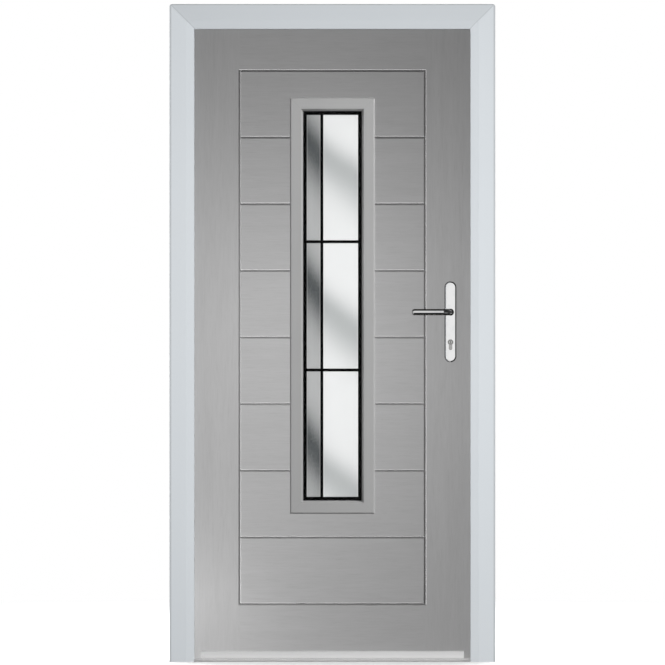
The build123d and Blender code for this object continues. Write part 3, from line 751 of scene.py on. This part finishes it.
def carry_ring(mesh, ring, move):
    """Carries a ring of edges along a straight line and gives the new ring."""
    grown = bmesh.ops.extrude_edge_only(mesh, edges=ring)["geom"]
    verts = only(bmesh.types.BMVert, grown)
    bmesh.ops.translate(mesh, verts=verts, vec=move)
    return [e for e in only(bmesh.types.BMEdge, grown) if all(v in verts for v in e.verts)]


def scale_ring(mesh, ring, factors, turn=0.0):
    """Scales a ring of edges about its middle, along axes turned about Z."""
    verts = list({v for e in ring for v in e.verts})
    middle = sum((v.co for v in verts), Vector()) / len(verts)
    space = Matrix.Rotation(-turn, 4, "Z") @ Matrix.Translation(-middle)
    bmesh.ops.scale(mesh, verts=verts, vec=factors, space=space)


def upright_ring(mesh, radius, place):
    """A ring of edges about an axis along Y."""
    verts = bmesh.ops.create_circle(mesh, radius=radius, segments=LEVER_SIDES)["verts"]
    bmesh.ops.rotate(mesh, verts=verts, matrix=Matrix.Rotation(math.pi / 2, 3, "X"))
    bmesh.ops.translate(mesh, verts=verts, vec=place)
    return list({e for v in verts for e in v.link_edges})


def lever_collar(mesh, root, outward):
    """A round collar on the plate, with an eased outer edge."""
    foot = upright_ring(mesh, COLLAR_RADIUS, root)
    bmesh.ops.edgeloop_fill(mesh, edges=foot)
    rim = carry_ring(mesh, foot, (0.0, outward * COLLAR_LENGTH, 0.0))
    bmesh.ops.edgeloop_fill(mesh, edges=rim)
    bmesh.ops.bevel(
        mesh, geom=rim, offset=COLLAR_EDGE, segments=3, profile=0.5, affect="EDGES", material=-1
    )


def bend_size(end_size, step):
    """Half the lever's depth or height after a step of its bend, on the way from the neck's radius."""
    return LEVER_NECK_RADIUS + step / LEVER_BEND_STEPS * (end_size / 2 - LEVER_NECK_RADIUS)


def lever_neck(mesh, root, reach, outward):
    """A round neck that flattens as it bends aside, to -X. Gives the ring at its end."""
    start = root.y + outward * (COLLAR_LENGTH - COLLAR_EDGE)
    bend_start = root.y + outward * (reach - LEVER_DEPTH / 2 - LEVER_BEND)
    foot = upright_ring(mesh, LEVER_NECK_RADIUS, (root.x, start, root.z))
    bmesh.ops.edgeloop_fill(mesh, edges=foot)
    ring = carry_ring(mesh, foot, (0.0, bend_start - start, 0.0))
    turn = outward * math.pi / 2 / LEVER_BEND_STEPS
    for step in range(1, LEVER_BEND_STEPS + 1):
        bend = bmesh.ops.spin(
            mesh,
            geom=ring,
            cent=(root.x - LEVER_BEND, bend_start, root.z),
            axis=(0.0, 0.0, 1.0),
            angle=turn,
            steps=1,
            use_duplicate=False,
        )
        ring = only(bmesh.types.BMEdge, bend["geom_last"])
        deeper = bend_size(LEVER_DEPTH, step) / bend_size(LEVER_DEPTH, step - 1)
        higher = bend_size(LEVER_HEIGHT, step) / bend_size(LEVER_HEIGHT, step - 1)
        scale_ring(mesh, ring, (deeper, 1.0, higher), turn * step)
    return ring


def lever_grip(mesh, ring, start, tip):
    """A straight grip with a domed end, carried to -X from a ring."""
    ring = carry_ring(mesh, ring, (tip + LEVER_DOME - start, 0.0, 0.0))
    across = 1.0
    along = 0.0
    for step in range(1, LEVER_DOME_STEPS + 1):
        angle = LEVER_DOME_ANGLE * step / LEVER_DOME_STEPS
        ring = carry_ring(mesh, ring, (-LEVER_DOME * (math.sin(angle) - along), 0.0, 0.0))
        size = math.cos(angle) / across
        scale_ring(mesh, ring, (1.0, size, size))
        across = math.cos(angle)
        along = math.sin(angle)
    bmesh.ops.edgeloop_fill(mesh, edges=ring)


def lever(name, node, outward, material):
    """A lever handle with a smooth surface, in place of its node. Outward is -1 outside and 1 inside."""
    low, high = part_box(node)
    plate = high.y if outward < 0 else low.y
    root = Vector((high.x - COLLAR_RADIUS, plate, (low.z + high.z) / 2))
    mesh = bmesh.new()
    lever_collar(mesh, root, outward)
    ring = lever_neck(mesh, root, high.y - low.y, outward)
    lever_grip(mesh, ring, root.x - LEVER_BEND, low.x)
    bmesh.ops.recalc_face_normals(mesh, faces=mesh.faces)
    piece = add_piece(name, mesh, "levers", material)
    piece.data.shade_smooth()
    piece.data.set_sharp_from_angle(angle=LEVER_SHARP_ANGLE)
    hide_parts(node)


def raised_ring(mesh, sheet, width, rise, outward):
    """Turns a flat upright face into a raised ring along its edge, with its top edges eased."""
    mesh.normal_update()
    inset = bmesh.ops.inset_region(
        mesh, faces=[sheet], thickness=width, use_even_offset=True, use_boundary=True
    )
    bmesh.ops.delete(mesh, geom=[sheet], context="FACES_ONLY")
    grown = bmesh.ops.extrude_face_region(mesh, geom=inset["faces"])["geom"]
    top = only(bmesh.types.BMVert, grown)
    bmesh.ops.translate(mesh, verts=top, vec=(0.0, outward * rise, 0.0))
    top_faces = set(only(bmesh.types.BMFace, grown))
    rims = [e for e in mesh.edges if len(top_faces.intersection(e.link_faces)) == 1]
    bmesh.ops.bevel(
        mesh, geom=rims, offset=width * RING_EASE, segments=2, profile=0.5, affect="EDGES", material=-1
    )
    bmesh.ops.recalc_face_normals(mesh, faces=mesh.faces)


def plate_shadow_rim(name, node, outward, material):
    """A black rubber rim round the foot of a handle plate, as a painted shadow of the plate on the leaf.
    Outward is -1 outside and 1 inside.
    """
    low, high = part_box(node)
    middle = (low + high) / 2
    foot = high.y if outward < 0 else low.y
    half_width = (high.x - low.x) / 2
    straight = (high.z - low.z) / 2 - half_width
    radius = half_width + PLATE_SHADOW_RIM_WIDTH
    mesh = bmesh.new()
    bmesh.ops.create_circle(mesh, cap_ends=True, radius=radius, segments=PLATE_SHADOW_RIM_SIDES)
    half_step = Matrix.Rotation(math.pi / PLATE_SHADOW_RIM_SIDES, 3, "Z")
    upright = Matrix.Rotation(math.pi / 2, 3, "X")
    bmesh.ops.rotate(mesh, verts=mesh.verts, matrix=upright @ half_step)
    for side in (-1, 1):
        end = [v for v in mesh.verts if v.co.z * side > 0]
        bmesh.ops.translate(mesh, verts=end, vec=(0.0, 0.0, side * straight))
    bmesh.ops.translate(mesh, verts=mesh.verts, vec=(middle.x, foot, middle.z))
    mesh.faces.ensure_lookup_table()
    raised_ring(mesh, mesh.faces[0], PLATE_SHADOW_RIM_WIDTH, PLATE_SHADOW_RIM_RISE, outward)
    # Painted shadow: the black rim shows as a dark outline round the plate
    add_piece(name, mesh, "leaf", material)


def gasket(name, pane_node, outward, material):
    """A rubber bead on a pane, at the foot of its cassette. Outward is -1 outside and 1 inside."""
    low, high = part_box(pane_node)
    face = low.y if outward < 0 else high.y
    side = high.x - UNIT_EDGE_COVER
    foot = low.z + UNIT_EDGE_COVER
    top = high.z - UNIT_EDGE_COVER
    mesh = bmesh.new()
    corners = ((-side, foot), (side, foot), (side, top), (-side, top))
    sheet = mesh.faces.new([mesh.verts.new((x, face, z)) for x, z in corners])
    raised_ring(mesh, sheet, GASKET_WIDTH, GASKET_DEPTH, outward)
    add_piece(name, mesh, "leaf", material)


def cross_recess_screw():
    """A low domed screw head with a cross recess, about the origin, facing +Z."""
    mesh = bmesh.new()
    bmesh.ops.create_circle(mesh, cap_ends=True, radius=SCREW_RADIUS, segments=SCREW_SIDES)
    head = bmesh.ops.extrude_face_region(mesh, geom=mesh.faces[:])
    top = only(bmesh.types.BMVert, head["geom"])
    bmesh.ops.translate(mesh, verts=top, vec=(0.0, 0.0, SCREW_RISE))
    rim = [e for e in mesh.edges if all(v in top for v in e.verts)]
    bmesh.ops.bevel(
        mesh, geom=rim, offset=SCREW_EDGE, segments=2, profile=0.5, affect="EDGES", material=-1
    )
    for distance in (RECESS_HALF_WIDTH, RECESS_REACH):
        for normal in ((1, 0, 0), (0, 1, 0)):
            for side in (-1, 1):
                place = Vector(normal) * side * distance
                every = mesh.verts[:] + mesh.edges[:] + mesh.faces[:]
                bmesh.ops.bisect_plane(mesh, geom=every, plane_co=place, plane_no=normal)
    sunk = []
    for face in mesh.faces:
        middle = face.calc_center_median()
        thin = min(abs(middle.x), abs(middle.y)) < RECESS_HALF_WIDTH
        near = max(abs(middle.x), abs(middle.y)) < RECESS_REACH
        if thin and near and face.normal.z > ON_TOP and middle.z > SCREW_RISE * ON_TOP:
            sunk.append(face)
    pit = bmesh.ops.extrude_face_region(mesh, geom=sunk)
    floor = only(bmesh.types.BMVert, pit["geom"])
    bmesh.ops.translate(mesh, verts=floor, vec=(0.0, 0.0, -RECESS_DEPTH))
    bmesh.ops.delete(mesh, geom=sunk, context="FACES")
    return mesh


def screws(name, body, places, material):
    """One mesh of screw heads. Each place is a point, the way the head faces, and the recess's turn."""
    pattern = bpy.data.meshes.new("screw_pattern")
    single = cross_recess_screw()
    single.to_mesh(pattern)
    single.free()
    mesh = bmesh.new()
    for point, facing, turn in places:
        before = len(mesh.verts)
        mesh.from_mesh(pattern)
        mesh.verts.ensure_lookup_table()
        turned = Vector(facing).to_track_quat("Z", "Y").to_matrix().to_4x4()
        move = Matrix.Translation(point) @ turned @ Matrix.Rotation(turn, 4, "Z")
        bmesh.ops.transform(mesh, matrix=move, verts=mesh.verts[before:])
    bpy.data.meshes.remove(pattern)
    add_piece(name, mesh, body, material)


def hinge_screw_places(node, to_frame):
    """Three screws down a hinge flag, clear of its knuckle. Frame flags lie to -X of the pin."""
    low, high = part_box(node)
    x = low.x + HINGE_SCREW_INSET if to_frame else high.x - HINGE_SCREW_INSET
    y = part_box("hinge_jamb")[1].y + HINGE_FLAG_THICKNESS
    middle = (low.z + high.z) / 2
    places = []
    for i in (-1, 0, 1):
        turn = HINGE_SCREW_TURN + HINGE_SCREW_TURN_STEP * i
        places.append(((x, y, middle + i * HINGE_SCREW_PITCH), INWARDS, turn))
    return places


def leaf_screw_places():
    """Screws on the inside plate, the hinge flags of the leaf and the lock's strip."""
    places = []
    low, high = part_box("inner_backplate")
    x = (low.x + high.x) / 2
    for z, turn in zip((high.z - PLATE_SCREW_INSET, low.z + PLATE_SCREW_INSET), PLATE_SCREW_TURNS):
        places.append(((x, high.y, z), INWARDS, turn))
    for level in HINGE_LEVELS:
        places += hinge_screw_places(level + "_hinge_leaf_flag", False)
    low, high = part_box("lock_strip")
    y = (low.y + high.y) / 2
    pitch = (high.z - low.z - 2 * STRIP_SCREW_INSET) / (STRIP_SCREW_COUNT - 1)
    for i in range(STRIP_SCREW_COUNT):
        z = low.z + STRIP_SCREW_INSET + i * pitch
        places.append(((high.x, y, z), TO_LOCK_SIDE, STRIP_SCREW_TURN_STEP * i))
    return places


def frame_screw_places():
    """Screws on the hinge flags of the frame and on the keeps."""
    places = []
    for level in HINGE_LEVELS:
        places += hinge_screw_places(level + "_hinge_frame_flag", True)
    for node in ("latch_keep", "lower_hook_keep", "upper_hook_keep"):
        low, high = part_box(node)
        y = (low.y + high.y) / 2
        for z, turn in zip((low.z + KEEP_SCREW_INSET, high.z - KEEP_SCREW_INSET), KEEP_SCREW_TURNS):
            places.append(((low.x, y, z), TO_HINGE_SIDE, turn))
    return places


# Studio


def keep_out_of_mirrors():
    """Keeps the large faces round the handle out of mirror rays, so that it mirrors the studio alone."""
    for name in ("outer_backplate", "outer_skin", "lock_jamb"):
        NODES[name].visible_glossy = False


def pale_floor():
    """A wide pale floor that takes the door's soft shadow and fades into white away from it."""
    mesh = bmesh.new()
    bmesh.ops.create_circle(mesh, cap_ends=True, radius=FLOOR_RADIUS, segments=FLOOR_SIDES)
    data = bpy.data.meshes.new("studio_floor")
    mesh.to_mesh(data)
    mesh.free()
    f = Finish("pale_floor")
    x, y, _ = f.axes(f.point)
    far = f.ease(f.length(x, y, 0.0), *FLOOR_FADE)
    near_shader = f.node("ShaderNodeBsdfDiffuse", None, {"Color": PALE_FLOOR})
    far_shader = f.node("ShaderNodeEmission", None, {"Color": WHITE, "Strength": 1.0})
    mixed = f.node("ShaderNodeMixShader", None, {0: far, 1: near_shader, 2: far_shader})
    f.node("ShaderNodeOutputMaterial", None, {"Surface": mixed})
    data.materials.append(f.material)
    floor = bpy.data.objects.new("studio_floor", data)
    floor.visible_shadow = False
    floor.visible_glossy = False
    floor.visible_diffuse = False
    bpy.context.scene.collection.objects.link(floor)
    return floor


def studio_world():
    """White to the eye, soft cards for polished faces to mirror, and a weak fill for all other faces.

    A card's edges are given in parts of the direction to it: x towards the lock side, y inwards, z up.
    """
    world = bpy.data.worlds.new("studio")
    bpy.context.scene.world = world
    w = Tree(world)
    x, y, z = w.axes(w.node("ShaderNodeTexCoord", None, None, "Generated"))
    band = w.span(z, -0.28, -0.14, 0.5, 0.7) * (1 - GLOSS_UPPER_LOSS * w.ease(z, 0.04, 0.14))
    ahead = w.fade(abs(x), 0.09, 0.2)
    beside = w.span(x, 0.84, 0.9, 0.94, 0.97) * w.ease(-y, 0.1, 0.25)
    edge_on = w.ease(x, 0.97, 0.995)
    left = w.span(-x, 0.1, 0.22, 0.9, 0.97) * w.fade(z, 0.3, 0.5)
    right = w.span(x, 0.22, 0.32, 0.7, 0.8) * w.ease(-z, 0.1, 0.2)
    above_ground = w.fade(-z, 0.45, 0.6)
    outside = 1 - (y > 0.0)
    inside = w.ease(y, 0.05, 0.3) * w.fade(-z, 0.45, 0.75) * w.fade(x, 0.8, 0.94)
    gloss = (
        GLOSS_DARK
        + band * (ahead * GLOSS_AHEAD + beside * GLOSS_BESIDE + edge_on * GLOSS_EDGE_ON)
        + (left * GLOSS_LEFT + right * GLOSS_RIGHT) * above_ground * outside
        + inside * GLOSS_INSIDE
    )
    fill = FILL_ROUND + FILL_SIDES * w.ease(abs(x), 0.65, 0.95) + FILL_INSIDE * w.ease(y, 0.0, 0.6)
    camera = w.node("ShaderNodeLightPath", None, None, "Is Camera Ray")
    glossy = w.node("ShaderNodeLightPath", None, None, "Is Glossy Ray")
    level = glossy * gloss + (1 - glossy) * fill
    strength = camera + (1 - camera) * level
    shader = w.node("ShaderNodeBackground", None, {"Color": WHITE, "Strength": strength})
    w.node("ShaderNodeOutputWorld", None, {"Surface": shader})


def group_of(name, things):
    """A collection of objects, for a lamp to light or to be shaded by."""
    group = bpy.data.collections.new(name)
    for thing in things:
        group.objects.link(thing)
    return group


def hang(light, place, lit, shaded_by):
    """Hangs a lamp. Where objects are named, it lights only those, or is shaded only by those."""
    lamp = bpy.data.objects.new(light.name, light)
    lamp.location = place
    lamp.visible_glossy = False
    lamp.visible_camera = False
    bpy.context.scene.collection.objects.link(lamp)
    if lit:
        lamp.light_linking.receiver_collection = group_of(light.name + "_lights", lit)
    if shaded_by:
        lamp.light_linking.blocker_collection = group_of(light.name + "_shaded_by", shaded_by)
    return lamp


def soft_box(name, place, target, watts, size, lit=None, shaded_by=None):
    """A square soft lamp aimed at a point."""
    light = bpy.data.lights.new(name, "AREA")
    light.shape = "SQUARE"
    light.size = size
    light.energy = watts
    lamp = hang(light, place, lit, shaded_by)
    aim = Vector(target) - Vector(place)
    lamp.rotation_euler = aim.to_track_quat("-Z", "Y").to_euler()


def bulb(name, place, watts, radius, lit, shaded_by):
    """A small round lamp that shines all ways."""
    light = bpy.data.lights.new(name, "POINT")
    light.shadow_soft_size = radius
    light.energy = watts
    hang(light, place, lit, shaded_by)


def skin_lamps():
    """A low key from the hinge side for the outer skin, with lamps before its middle and its foot."""
    skin = [NODES["outer_skin"]]
    soft_box(
        "skin_key",
        place=(-3.77, -1.2, -3.56),
        target=(-0.05, 0.0, 1.0),
        watts=627.0,
        size=0.6,
        lit=skin,
        shaded_by=skin,
    )
    bulb("skin_front", place=(-0.15, -0.85, 1.044), watts=19.3, radius=0.1, lit=skin, shaded_by=skin)
    bulb("skin_foot", place=(-0.42, -0.29, 0.17), watts=1.35, radius=0.06, lit=skin, shaded_by=skin)


def cassette_lamps():
    """A high key from the lock side for the outer cassette, with a weak lamp in front."""
    cassette = [NODES["outer_cassette"]]
    soft_box(
        "cassette_key",
        place=(3.5, -2.5, 3.2),
        target=(0.0, 0.0, 1.1),
        watts=190.0,
        size=0.6,
        lit=cassette,
        shaded_by=cassette,
    )
    soft_box(
        "cassette_front",
        place=(0.2, -2.6, 1.0),
        target=(0.0, 0.0, 1.0),
        watts=28.0,
        size=0.8,
        lit=cassette,
        shaded_by=cassette,
    )


def frame_lamps():
    """A front key for frame, tiles and weather bar, and a weak high one for all below the head."""
    frame_pieces = [NODES[n] for n in frame["record"]["behaviour"]["bodies"]["frame"]]
    tiles = [NODES["wide_tiles"], NODES["narrow_tiles"]]
    bar = [NODES["weather_bar"]]
    soft_box(
        "frame_key",
        place=(0.5, -3.6, 1.06),
        target=(0.0, 0.0, 1.0),
        watts=99.0,
        size=1.5,
        lit=frame_pieces + tiles + bar,
        shaded_by=frame_pieces,
    )
    soft_box(
        "jamb_key",
        place=(0.0, -2.5, 2.6),
        target=(0.0, 0.0, 1.4),
        watts=6.6,
        size=0.8,
        lit=[piece for piece in frame_pieces + bar if piece is not NODES["frame_head"]],
        shaded_by=frame_pieces,
    )


def room_lamps(floor):
    """Wide lamps for the inside and the open leaf, and one for the floor alone."""
    soft_box("inside_key", place=(1.8, 4.2, 2.6), target=(0.0, 0.0, 1.0), watts=108.0, size=2.0)
    soft_box("open_leaf_fill", place=(-3.6, 2.4, 2.2), target=(-0.4, 0.5, 1.0), watts=72.0, size=2.0)
    soft_box(
        "floor_key",
        place=(0.0, 0.6, 5.0),
        target=(0.0, 0.6, 0.0),
        watts=470.0,
        size=5.0,
        lit=[floor],
        shaded_by=list(NODES.values()),
    )


def front_camera():
    """The photograph's view: level, square on, from far off."""
    low, high = CAD_BOX
    metres_per_pixel = (high.z - low.z) / (DOOR_FOOT_PIXEL - DOOR_TOP_PIXEL)
    centre_pixel = IMAGE_PIXELS / 2
    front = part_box("lock_jamb")[0].y
    camera = bpy.data.cameras.new("front_camera")
    camera.sensor_width = SENSOR_MM
    camera.lens = SENSOR_MM * CAMERA_DISTANCE / (IMAGE_PIXELS * metres_per_pixel)
    camera.clip_end = CAMERA_REACH
    view = bpy.data.objects.new("front_camera", camera)
    view.location = (
        (centre_pixel - DOOR_MIDDLE_PIXEL) * metres_per_pixel,
        front - CAMERA_DISTANCE,
        low.z + (DOOR_FOOT_PIXEL - centre_pixel) * metres_per_pixel,
    )
    view.rotation_euler = (math.pi / 2, 0.0, 0.0)
    bpy.context.scene.collection.objects.link(view)
    bpy.context.scene.camera = view


def plain_colours():
    """Shows colours as they are, with no film curve."""
    bpy.context.scene.view_settings.view_transform = "Standard"


finishes = dress_nodes()
lever("outer_lever_handle", "outer_lever", -1, finishes["chrome"])
lever("inner_lever_handle", "inner_lever", 1, finishes["chrome"])
gasket("outer_gasket", "outer_pane", -1, finishes["seal_rubber"])
gasket("inner_gasket", "inner_pane", 1, finishes["seal_rubber"])
plate_shadow_rim("outer_plate_shadow_rim", "outer_backplate", -1, finishes["seal_rubber"])
plate_shadow_rim("inner_plate_shadow_rim", "inner_backplate", 1, finishes["seal_rubber"])
screws("leaf_screws", "leaf", leaf_screw_places(), finishes["steel"])
screws("frame_screws", "frame", frame_screw_places(), finishes["steel"])
keep_out_of_mirrors()
floor = pale_floor()
studio_world()
skin_lamps()
cassette_lamps()
frame_lamps()
room_lamps(floor)
front_camera()
plain_colours()
